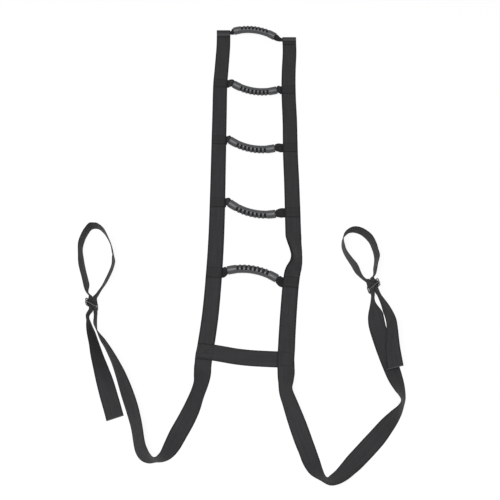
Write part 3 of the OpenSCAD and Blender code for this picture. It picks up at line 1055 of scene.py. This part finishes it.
def axis_height(rung, grip):
    """Height of a rung's swing axis: its collars are on the floor, or its bulge when that leans down."""
    sagitta = grip.curve * (1 - math.cos(grip.length / 2 / grip.curve))
    lowered = grip.rib_radius - sagitta * math.sin(math.radians(rung[4]))
    return REST_GAP * MM + max(grip.collar_radius, lowered)


def rung_frame(rung, grip):
    """Matrix of a rung: chord along X, bulge to +Y, origin at the middle of the chord."""
    x, y, turn, bulge, lean = rung
    angle = math.radians(turn if bulge > 0 else turn + 180)
    place = Matrix.Translation((x * MM, y * MM, axis_height(rung, grip)))
    return place @ Matrix.Rotation(angle, 4, "Z") @ Matrix.Rotation(math.radians(lean), 4, "X")


def arc_frame(s, grip):
    """Middle, direction out of the bulge and direction along, at a length s from the grip's middle."""
    angle = s / grip.curve
    half = grip.length / 2 / grip.curve
    out = Vector((math.sin(angle), math.cos(angle), 0))
    middle = grip.curve * out - Vector((0, grip.curve * math.cos(half), 0))
    return middle, out, Vector((math.cos(angle), -math.sin(angle), 0))


def slot_middles(grip):
    """Lengths from a grip's middle to the middles of its slots, and the pitch of the slots."""
    ribbed = grip.length - 2 * grip.collar_length
    pitch = ribbed / grip.slots
    return [(k + 0.5) * pitch - ribbed / 2 for k in range(grip.slots)], pitch


def grip_stations(grip):
    """Lengths along a grip with the outer radius there, and whether a slot follows."""
    half = grip.length / 2
    foot = half - grip.collar_length
    rim, body = grip.collar_radius, grip.rib_radius
    end = [(d - half, rim - less, False) for d, less in COLLAR_MOUTH]
    end += [(-foot - d, rim - less, False) for d, less in COLLAR_FOOT]
    end.append((-foot, body, False))
    middles, pitch = slot_middles(grip)
    ribs = []
    for middle in middles:
        ribs.append((middle - grip.slot_width / 2, body, True))
        ribs.append((middle + grip.slot_width / 2, body, False))
        ribs.append((middle + pitch / 2, body + RIB_CROWN, False))
    other = [(-s, r, False) for s, r, _ in reversed(end)]
    return end + ribs[:-1] + other


def grip_mesh(name, grip):
    """Hollow curved grip with ribs left standing between open slots on the bulging side."""
    stations = grip_stations(grip)
    column = 360 / GRIP_COLUMNS
    turns = [k * column for k in range(GRIP_COLUMNS)]
    in_slot = [
        min(t, 360 - t) < SLOT_HALF_TURN and min(t + column, 360 - t) < SLOT_HALF_TURN + column
        for t in turns]
    bm = bmesh.new()
    outer, inner = [], []
    for s, radius, _ in stations:
        middle, out, _ = arc_frame(s, grip)
        for rings, r in ((outer, radius), (inner, grip.channel)):
            rings.append(round_ring(bm, middle, out, UP, r, GRIP_COLUMNS))

    def open_cell(i, k):
        return stations[i][2] and in_slot[k % GRIP_COLUMNS]

    for i in range(len(stations) - 1):
        for k in range(GRIP_COLUMNS):
            j = (k + 1) % GRIP_COLUMNS
            if not open_cell(i, k):
                bm.faces.new((outer[i][k], outer[i + 1][k], outer[i + 1][j], outer[i][j]))
                bm.faces.new((inner[i][j], inner[i + 1][j], inner[i + 1][k], inner[i][k]))
                if open_cell(i, k + 1):
                    bm.faces.new((outer[i][j], outer[i + 1][j], inner[i + 1][j], inner[i][j]))
                if open_cell(i, k - 1):
                    bm.faces.new((outer[i + 1][k], outer[i][k], inner[i][k], inner[i + 1][k]))
            else:
                bm.faces.new((outer[i][k], outer[i][j], inner[i][j], inner[i][k]))
                bm.faces.new((outer[i + 1][j], outer[i + 1][k], inner[i + 1][k], inner[i + 1][j]))
    for i, flip in ((0, False), (len(stations) - 1, True)):
        for k in range(GRIP_COLUMNS):
            j = (k + 1) % GRIP_COLUMNS
            face = (outer[i][k], outer[i][j], inner[i][j], inner[i][k])
            bm.faces.new(tuple(reversed(face)) if flip else face)
    return finished_mesh(bm, name, GRIP_SHARP)


class LADDER_OT_grips(Operator):
    """Make the moulded hand grips"""

    bl_idname = "ladder.grips"
    bl_label = "Hand grips"

    def execute(self, context):
        grip = context.scene.ladder_grip
        for i, rung in enumerate(RUNGS, 1):
            name = f"rung_{i}_hand_grip"
            mesh = grip_mesh(name, grip)
            mesh.transform(rung_frame(rung, grip))
            piece = new_object(name, mesh, grip_material())
            bevel = piece.modifiers.new("rounded edges", "BEVEL")
            bevel.width = GRIP_ROUNDING
            bevel.segments = GRIP_ROUND_STEPS
            bevel.limit_method = "ANGLE"
            bevel.angle_limit = math.radians(GRIP_SHARP)
            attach(piece, f"rung_{i}")
            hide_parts(f"rung_{i}_grip")
        return {"FINISHED"}


def pleated(angle, a, b, power, depth):
    """Point of a gathered section: between a box and an ellipse, with folds round it."""
    c, s = math.cos(angle), math.sin(angle)
    x = a * math.copysign(abs(c) ** (2 / power), c)
    y = b * math.copysign(abs(s) ** (2 / power), s)
    fold = 1 - depth * (0.5 - 0.5 * math.cos(NECK_FOLDS * angle))
    return x * fold, y * fold


def gathered_mesh(name, sections):
    """Gathered webbing through sections.

    Each is a middle, the directions across and out of the face, half width, half thickness, squareness,
    fold depth and how far it swells to the side across.
    """
    rings, lengths = [], [0.0]
    for i, (middle, w, n, a, b, power, depth, swell) in enumerate(sections):
        ring = []
        for k in range(NECK_SIDES):
            angle = 2 * math.pi * k / NECK_SIDES + NECK_TURN
            x, y = pleated(angle, a, b, power, depth)
            out = 1 + swell * math.sqrt(max(0.0, math.cos(angle)))
            ring.append(middle + out * (x * w + y * n))
        rings.append(ring)
        if i:
            lengths.append(lengths[-1] + (middle - sections[i - 1][0]).length)
    first, shown = NECK_BREADTH
    breadths = [first + shown * k / NECK_SIDES for k in range(NECK_SIDES + 1)]
    return ring_mesh(name, rings, lengths, breadths)


def core_stations(grip):
    """Lengths along the webbing in a grip, and how far it swells out there into a slot."""
    half = grip.length / 2 - CORE_INSET
    foot = grip.length / 2 - grip.collar_length
    stations = [(-half, 0.0), (-foot, 0.0)]
    for middle in slot_middles(grip)[0]:
        stations += [(middle + share * grip.slot_width / 2, swell) for share, swell in CORE_SWELL]
    return stations + [(foot, 0.0), (half, 0.0)]


def neck_sections(i, outward):
    """Sections of the rung webbing from between the rail's plies into the grip's mouth, in metres.

    With them come the points where it leaves the rail and where it reaches the grip.
    """
    web, grip = bpy.context.scene.ladder_webbing, bpy.context.scene.ladder_grip
    rung = RUNGS[i]
    route, anchors = RAILS["right" if outward > 0 else "left"]
    hem = i == 0
    if hem:
        inside, reach = HEM_NECK, HEM_REACH
        sink, level = HEM_SINK[0], (HEM_R - HEM_SINK[1]) * MM
    else:
        inside, reach = RAIL_NECK, RAIL_REACH
        sink, level = 0, web.thickness + PLY_GAP * MM
    edge = rail_x(route, anchors[i]) * MM - outward * web.width / 2
    start = Vector((edge, (anchors[i] - sink) * MM, level + web.thickness / 2))
    place = rung_frame(rung, grip)
    turn = place.to_3x3()
    end = outward * rung[3]
    middle, out, along = arc_frame(end * grip.length / 2, grip)
    mouth, away = place @ middle, turn @ along * end
    wide, thick = turn @ out * rung[3], turn @ UP
    last = mouth + NECK_GAP * away
    sections = []

    def add(point, w, n, shape):
        a, b, power, depth = shape
        sections.append((point, w, n, a * MM, b * MM, power, depth, 0.0))

    for d in reach:
        add(start + Vector((outward * d * MM, 0, 0)), ALONG, UP, inside)
    pull = (last - start).length
    leave, arrive = Vector((-outward * pull, 0, 0)), -pull * away
    for k in range(NECK_STEPS + 1):
        t = k / NECK_STEPS
        point = (
            (2 * t ** 3 - 3 * t * t + 1) * start + (t ** 3 - 2 * t * t + t) * leave
            + (3 * t * t - 2 * t ** 3) * last + (t ** 3 - t * t) * arrive)
        turned, folded = ease_in(t, 1), ease_in(t, NECK_FOLDING)
        shares = (turned if hem else t * t, turned, folded, folded)
        shape = [mixed(p, q, share) for p, q, share in zip(inside, MOUTH_NECK, shares)]
        add(point, ALONG.lerp(wide, turned).normalized(), UP.lerp(thick, turned).normalized(), shape)
    for d, size in MOUTH_STEPS:
        add(mouth + d * MM * away, wide, thick, (size, size, *MOUTH_FOLDS))
    return sections, start, last


class LADDER_OT_rung_webbing(Operator):
    """Make the rung webbing: gathered at the mouths of each grip and running through it"""

    bl_idname = "ladder.rung_webbing"
    bl_label = "Rung webbing"

    def execute(self, context):
        grip = context.scene.ladder_grip
        for i, rung in enumerate(RUNGS):
            body = f"rung_{i + 1}"
            for side, outward in (("left", -1), ("right", 1)):
                name = f"rung_{i + 1}_{side}_neck"
                sections, start, end = neck_sections(i, outward)
                piece = new_object(name, gathered_mesh(name, sections), rung_material())
                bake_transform(piece)
                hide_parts(f"rung_{i + 1}_necks")
            name = f"rung_{i + 1}_webbing_core"
            radius = grip.channel - CORE_GAP
            sections = []
            for s, swell in core_stations(grip):
                middle, out, _ = arc_frame(s, grip)
                sections.append((middle, out, UP, radius, radius, *CORE_FOLDS, swell))
            mesh = gathered_mesh(name, sections)
            mesh.transform(rung_frame(rung, grip))
            piece = new_object(name, mesh, rung_material())
            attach(piece, body)
            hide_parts(f"rung_{i + 1}_core")
        return {"FINISHED"}


# Tie straps and buckles


def along_heading(heading):
    """Level direction of a heading."""
    return Vector((math.cos(heading), math.sin(heading), 0))


def exit_point(place, s, n, roll, web):
    """Route point where a strap leaves a buckle, s along the strap and n out of its face."""
    middle, heading, tilt, _ = place
    h, r = math.radians(heading), math.radians(tilt)
    p = middle + s * along_heading(h) + n * face_of(h, r)
    return [p.x, p.y, roll, p.z - rise(r, web)]


def bar_radii(web, buckle):
    """Radius of the inner and the outer ply's middle round a bar, in millimetres."""
    near = (buckle.bar + web.thickness / 2) / MM + BAR_GAP
    return near, near + web.thickness / MM + PLY_GAP


def strap_routes(side):
    """Lead, loop and tail of one tie strap, up to its buckle."""
    web, buckle = bpy.context.scene.ladder_webbing, bpy.context.scene.ladder_buckle
    place = BUCKLES[side]
    near, far = bar_radii(web, buckle)
    lead, loop, tail = TIES[side]

    def on_lead(s):
        return exit_point(place, s, -place[3] * far, place[2], web)

    def on_tail(s, part=0.0):
        return exit_point(place, s, -place[3] * (near - part), 180 - place[2], web)

    end, straight = BUCKLE_EXIT, EXIT_STRAIGHT
    return {
        "lead": lead + [on_lead(-straight), on_lead(-end)],
        "loop": [on_lead(end), on_lead(straight)] + loop + [on_tail(straight), on_tail(end)],
        "tail": [on_tail(-end), on_tail(-straight, TAIL_PART)] + tail,
    }


def weave_strap(side, outer, middle):
    """One pass of webbing round the back of the outer bars and over the middle one."""
    web, buckle = bpy.context.scene.ladder_webbing, bpy.context.scene.ladder_buckle
    place, heading, tilt, hump = BUCKLES[side]
    pitch = buckle.pitch / MM
    lean = math.degrees(math.asin((outer + middle) / pitch))
    turns = (
        (-pitch, outer, 270, 270 + lean),
        (0, middle, 90 + lean, 90 - lean),
        (pitch, outer, 270 - lean, 270),
    )
    line = [(-BUCKLE_EXIT, -outer)]
    for y, r, start, end in turns:
        for k in range(BAR_STEPS + 1):
            a = math.radians(mixed(start, end, k / BAR_STEPS))
            line.append((y + r * math.cos(a), r * math.sin(a)))
    line.append((BUCKLE_EXIT, -outer))
    h, r = math.radians(heading), math.radians(tilt)
    travel, face, w = along_heading(h), face_of(h, r), across(h, r)
    return Strap([((place + y * travel + hump * z * face) * MM, w) for y, z in line], web)


def strap_gathers(strap, part):
    """How tightly a strap is gathered at each frame, and which end of the buckle it is drawn to."""
    waist, run = STRAP_GATHERS[part]
    rows = []
    for s in strap.along:
        lengths = {0: s, -1: strap.length - s}
        end = min(BUCKLE_ENDS[part], key=lengths.get)
        d = lengths[end]
        tight = mixed(IN_BUCKLE, 1.0, ease_in(d, waist))
        rows.append((tight * (1 - ease_in(d - waist, run)), DRAWN_TO[part][end]))
    return rows


def lead_layers(line, top, ply):
    """How far a lead stands off at each point: one ply at the rail's end, and none a little below it."""
    rows = []
    lowest = top
    for _, y, _, _ in line:
        lowest = min(lowest, y)
        rows.append(ply * ease(top - lowest, 0, LEAD_RAMP))
    return rows


def buckle_gathers(strap, middle, travel, drawn):
    """Gathers of the webbing in a buckle: full width on the middle bar, drawn in towards the exits."""
    rows = []
    for point, _ in strap.frames:
        d = abs((point - middle).dot(travel))
        rows.append((IN_BUCKLE * ease_in(d, BUCKLE_EXIT * MM), drawn))
    return rows


def mark_cut_end(piece, strap):
    """Marks the last of a strap's length, where the webbing was cut and sealed."""
    end, direction = strap.frames[-1][0], strap.travel(len(strap.frames) - 1)
    marks = piece.data.attributes.new("cut_end", "FLOAT", "POINT")
    for vertex, mark in zip(piece.data.vertices, marks.data):
        back = end - vertex.co
        mark.value = 1.0 if back.dot(direction) < CUT_DEPTH and back.length < CUT_REACH else 0.0


class LADDER_OT_tie_straps(Operator):
    """Make the two tie straps: each runs to its buckle, round a loop and back through the buckle"""

    bl_idname = "ladder.tie_straps"
    bl_label = "Tie straps"

    def execute(self, context):
        web, buckle = context.scene.ladder_webbing, context.scene.ladder_buckle
        near, far = bar_radii(web, buckle)
        ply = web.thickness / MM + PLY_GAP
        for side, (middle, heading, tilt, _) in BUCKLES.items():
            body = f"{side}_buckle"
            middle = middle * MM
            travel = along_heading(math.radians(heading))
            square = across(math.radians(heading), math.radians(tilt))
            rail_end = rail_straps(side)[0].frames[-1]
            done = 0.0
            for part, route in strap_routes(side).items():
                line = smooth(route, TIE_SPACING)
                if part == "lead":
                    frames = strap_frames(line, web, lead_layers(line, rail_end[0].y / MM, ply))
                    frames[0] = rail_end
                else:
                    frames = strap_frames(line, web)
                for end in BUCKLE_ENDS[part]:
                    frames[end] = (frames[end][0], square)
                strap = Strap(frames, web)
                strap.gathers = strap_gathers(strap, part)
                piece = finish_webbing(
                    f"{side}_strap_{part}", strap, f"{side}_{part}", start=done, body=None)
                done += strap.length
                if part == "tail":
                    mark_cut_end(piece, strap)
                start = FOLLOWS_FROM[part]
                end = math.copysign(BUCKLE_EXIT * MM, start)
                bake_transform(piece)
            for part, outer, inner, drawn in (("lead", far, near, -1), ("tail", near, far, 1)):
                strap = weave_strap(side, outer, inner)
                strap.gathers = buckle_gathers(strap, middle, travel, drawn)
                finish_webbing(
                    f"{side}_strap_{part}_in_buckle", strap, f"{side}_webbing_in_buckle",
                    body=body)
        return {"FINISHED"}


def add_bar(bm, points, radii, closed=False):
    """Round bar through level points, with a radius at each."""
    rings = []
    count = len(points)
    for i, (p, radius) in enumerate(zip(points, radii)):
        ahead = points[(i + 1) % count] if closed or i + 1 < count else p
        behind = points[i - 1] if closed or i else p
        side = UP.cross(ahead - behind).normalized()
        rings.append(round_ring(bm, p, side, BAR_HEIGHT * UP, radius, BAR_SIDES))
    add_tube(bm, rings, closed)


def buckle_mesh(name, buckle):
    """Rounded outer bars and cheeks in one loop, and a ribbed middle bar."""
    bm = bmesh.new()
    end = buckle.length / 2 - buckle.cheek / 2
    x, y = end - BUCKLE_CORNER, buckle.pitch - BUCKLE_CORNER
    loop = []
    for quarter, (cx, cy) in enumerate(((x, y), (-x, y), (-x, -y), (x, -y))):
        for k in range(CORNER_STEPS + 1):
            a = math.radians(90 * (quarter + k / CORNER_STEPS))
            loop.append(Vector((cx + BUCKLE_CORNER * math.cos(a), cy + BUCKLE_CORNER * math.sin(a), 0)))
    add_bar(bm, loop, [buckle.bar] * len(loop), closed=True)
    rows = range(BAR_ROWS + 1)
    middle_bar = [Vector((end * (2 * k / BAR_ROWS - 1), 0, 0)) for k in rows]
    add_bar(bm, middle_bar, [buckle.bar * (1.0 if k % 2 else BAR_SUNK) for k in rows])
    return finished_mesh(bm, name, BUCKLE_SHARP)


class LADDER_OT_buckles(Operator):
    """Make the slide buckles"""

    bl_idname = "ladder.buckles"
    bl_label = "Slide buckles"

    def execute(self, context):
        for side, (middle, heading, tilt, _) in BUCKLES.items():
            name = f"{side}_slide_buckle"
            mesh = buckle_mesh(name, context.scene.ladder_buckle)
            turn = Matrix.Rotation(math.radians(heading - 90), 4, "Z")
            lean = Matrix.Rotation(math.radians(-tilt), 4, "Y")
            mesh.transform(Matrix.Translation(middle * MM) @ turn @ lean)
            piece = new_object(name, mesh, buckle_material())
            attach(piece, f"{side}_buckle")
            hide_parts(f"{side}_buckle")
        return {"FINISHED"}


# Sewing


def add_stitch(bm, path):
    """One stitch: a thread that dips into the webbing at both ends."""
    rings = []
    for i, (p, n) in enumerate(path):
        travel = (path[min(i + 1, len(path) - 1)][0] - path[max(i - 1, 0)][0]).normalized()
        side = travel.cross(n).normalized()
        rings.append(round_ring(bm, p, side, side.cross(travel), THREAD_RADIUS, THREAD_SIDES))
    add_tube(bm, rings, closed=False)


def sew(bm, strap, a, b, height=0.0):
    """Row of stitches on a strap's face from a to b; each is a length along and a distance across."""
    length = math.hypot(b[0] - a[0], b[1] - a[1])
    count = max(int(length / STITCH_PITCH), 1)
    share = (1 - STITCH_GAP / STITCH_PITCH) / count
    for k in range(count):
        path = []
        for t, lift in STITCH_RISE:
            f = k / count + t * share
            path.append(strap.on_face(mixed(a[0], b[0], f), mixed(a[1], b[1], f), height + lift))
        add_stitch(bm, path)


def sew_box(bm, strap, along, aside):
    """Stitched box from and to two lengths along a strap and two distances across it; gives its corners."""
    corners = [(along[0], aside[0]), (along[1], aside[0]), (along[1], aside[1]), (along[0], aside[1])]
    for a, b in zip(corners, corners[1:] + corners[:1]):
        sew(bm, strap, a, b)
    return corners


def stitching_piece(name, bm):
    """Thread that rides on the webbing."""
    piece = new_object(name, finished_mesh(bm, name), thread_material())
    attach(piece, "webbing")


class LADDER_OT_stitching(Operator):
    """Sew the rail plies together, the hems, the rungs into the rails and the cross strap's ends"""

    bl_idname = "ladder.stitching"
    bl_label = "Stitching"

    def execute(self, context):
        web = context.scene.ladder_webbing
        inset = web.width / 2 - EDGE_INSET
        for side in RAILS:
            front, _ = rail_straps(side)
            seams = rail_seams(side, front)
            bm = bmesh.new()
            for s, _, _ in seams:
                sew(bm, front, (s, -inset), (s, inset), height=-SEAM_DEPTH)
            for u in (-inset, inset):
                sew(bm, front, (seams[0][0], u), (front.length - END_INSET, u))
            if side == "right":
                along = [front.at_y(y * MM) for y in RIGHT_BOX]
                sew_box(bm, front, along, RIGHT_BOX_ACROSS)
                sew(bm, front, (along[0], RIGHT_BOX_ROW), (along[1], RIGHT_BOX_ROW))
            stitching_piece(f"{side}_rail_stitching", bm)
        bm = bmesh.new()
        cross = cross_strap(web)
        corners = sew_box(bm, cross, LEFT_BOX, LEFT_BOX_ACROSS)
        sew(bm, cross, corners[0], corners[2])
        sew(bm, cross, corners[1], corners[3])
        stitching_piece("cross_strap_stitching", bm)
        return {"FINISHED"}


# Stage


def seen_plainly(tree):
    """Mask of what the camera sees, directly or in a reflection."""
    rays = tree.nodes.new("ShaderNodeLightPath")
    return maths(tree, "MAXIMUM", rays.outputs["Is Camera Ray"], rays.outputs["Is Glossy Ray"])


def pale_floor_material(colour):
    """Pale floor that keeps the shadow, and reads as white to the camera and in reflections."""
    material, tree, shader = blank_material("pale floor")
    settle(shader, {"Base Color": (*colour, 1), "Roughness": 0.9, "Specular IOR Level": 0})
    glow = tree.nodes.new("ShaderNodeEmission")
    mix = tree.nodes.new("ShaderNodeMixShader")
    link_all(
        tree,
        (maths(tree, "MULTIPLY", seen_plainly(tree), FLOOR_GLOW), mix.inputs[0]),
        (shader.outputs[0], mix.inputs[1]),
        (glow.outputs[0], mix.inputs[2]),
        (mix.outputs[0], tree.nodes["Material Output"].inputs["Surface"]))
    return material


def white_world(fill):
    """Soft light from all round that reads as white to the camera and in reflections."""
    world = bpy.data.worlds.new("soft surroundings")
    world.use_nodes = True
    tree = world.node_tree
    background = tree.nodes["Background"]
    settle(background, {"Color": (1, 1, 1, 1)})
    strength = maths(tree, "MULTIPLY_ADD", seen_plainly(tree), 1 - fill, fill)
    tree.links.new(strength, background.inputs["Strength"])
    return world


def add_aimed(name, data, place, aim):
    """Lamp or camera at a place, turned to its aim."""
    made = bpy.data.objects.new(name, data)
    made.location = place
    made.rotation_mode = "QUATERNION"
    made.rotation_quaternion = (aim - place).to_track_quat("-Z", "Y")
    bpy.context.scene.collection.objects.link(made)
    return made


class LADDER_OT_stage(Operator):
    """Make the floor, the light and the camera"""

    bl_idname = "ladder.stage"
    bl_label = "Stage"

    def execute(self, context):
        scene = context.scene
        stage = scene.ladder_stage
        h = FLOOR_HALF
        corners = [(x, y, -FLOOR_DROP) for x, y in ((-h, -h), (h, -h), (h, h), (-h, h))]
        mesh = bpy.data.meshes.new("floor")
        mesh.from_pydata(corners, [], [(0, 1, 2, 3)])
        new_object("floor", mesh, pale_floor_material(stage.floor_colour))

        scene.world = white_world(stage.fill)
        lamp = bpy.data.lights.new("overhead", "AREA")
        lamp.shape = "DISK"
        lamp.size = LAMP_SIZE
        lamp.energy = stage.key
        add_aimed("overhead", lamp, LAMP_AT, LAMP_AIM)
        scene.view_settings.view_transform = "Standard"

        camera = bpy.data.cameras.new("camera")
        camera.lens = LENS
        camera.sensor_width = FILM_WIDTH
        scene.camera = add_aimed("camera", camera, CAMERA_AT, AIM)
        return {"FINISHED"}


class LADDER_PT_build(Panel):
    """Lists the ladder's settings and the steps that build it"""

    bl_idname = "LADDER_PT_build"
    bl_label = "Webbing ladder"
    bl_space_type = "VIEW_3D"
    bl_region_type = "UI"
    bl_category = "Ladder"

    def draw(self, context):
        for group in ("ladder_webbing", "ladder_grip", "ladder_buckle", "ladder_stage"):
            box = self.layout.box()
            settings = getattr(context.scene, group)
            for name in settings.bl_rna.properties.keys():
                if name not in ("rna_type", "name"):
                    box.prop(settings, name)
        for step in STEPS:
            self.layout.operator(step.bl_idname)


STEPS = (
    LADDER_OT_stage, LADDER_OT_rails, LADDER_OT_tie_straps, LADDER_OT_rung_webbing, LADDER_OT_grips,
    LADDER_OT_buckles, LADDER_OT_stitching)
SETTINGS = {
    "ladder_webbing": WebbingSettings,
    "ladder_grip": GripSettings,
    "ladder_buckle": BuckleSettings,
    "ladder_stage": StageSettings,
}


def register():
    for kind in (*SETTINGS.values(), *STEPS, LADDER_PT_build):
        bpy.utils.register_class(kind)
    for name, kind in SETTINGS.items():
        setattr(bpy.types.Scene, name, PointerProperty(type=kind))


def unregister():
    for name in SETTINGS:
        delattr(bpy.types.Scene, name)
    for kind in reversed((*SETTINGS.values(), *STEPS, LADDER_PT_build)):
        bpy.utils.unregister_class(kind)


def main():
    register()
    bpy.ops.ladder.stage()
    bpy.ops.ladder.rails()
    bpy.ops.ladder.tie_straps()
    bpy.ops.ladder.rung_webbing()
    bpy.ops.ladder.grips()
    bpy.ops.ladder.buckles()
    bpy.ops.ladder.stitching()
    bpy.context.view_layer.update()


if __name__ == "__main__":
    main()
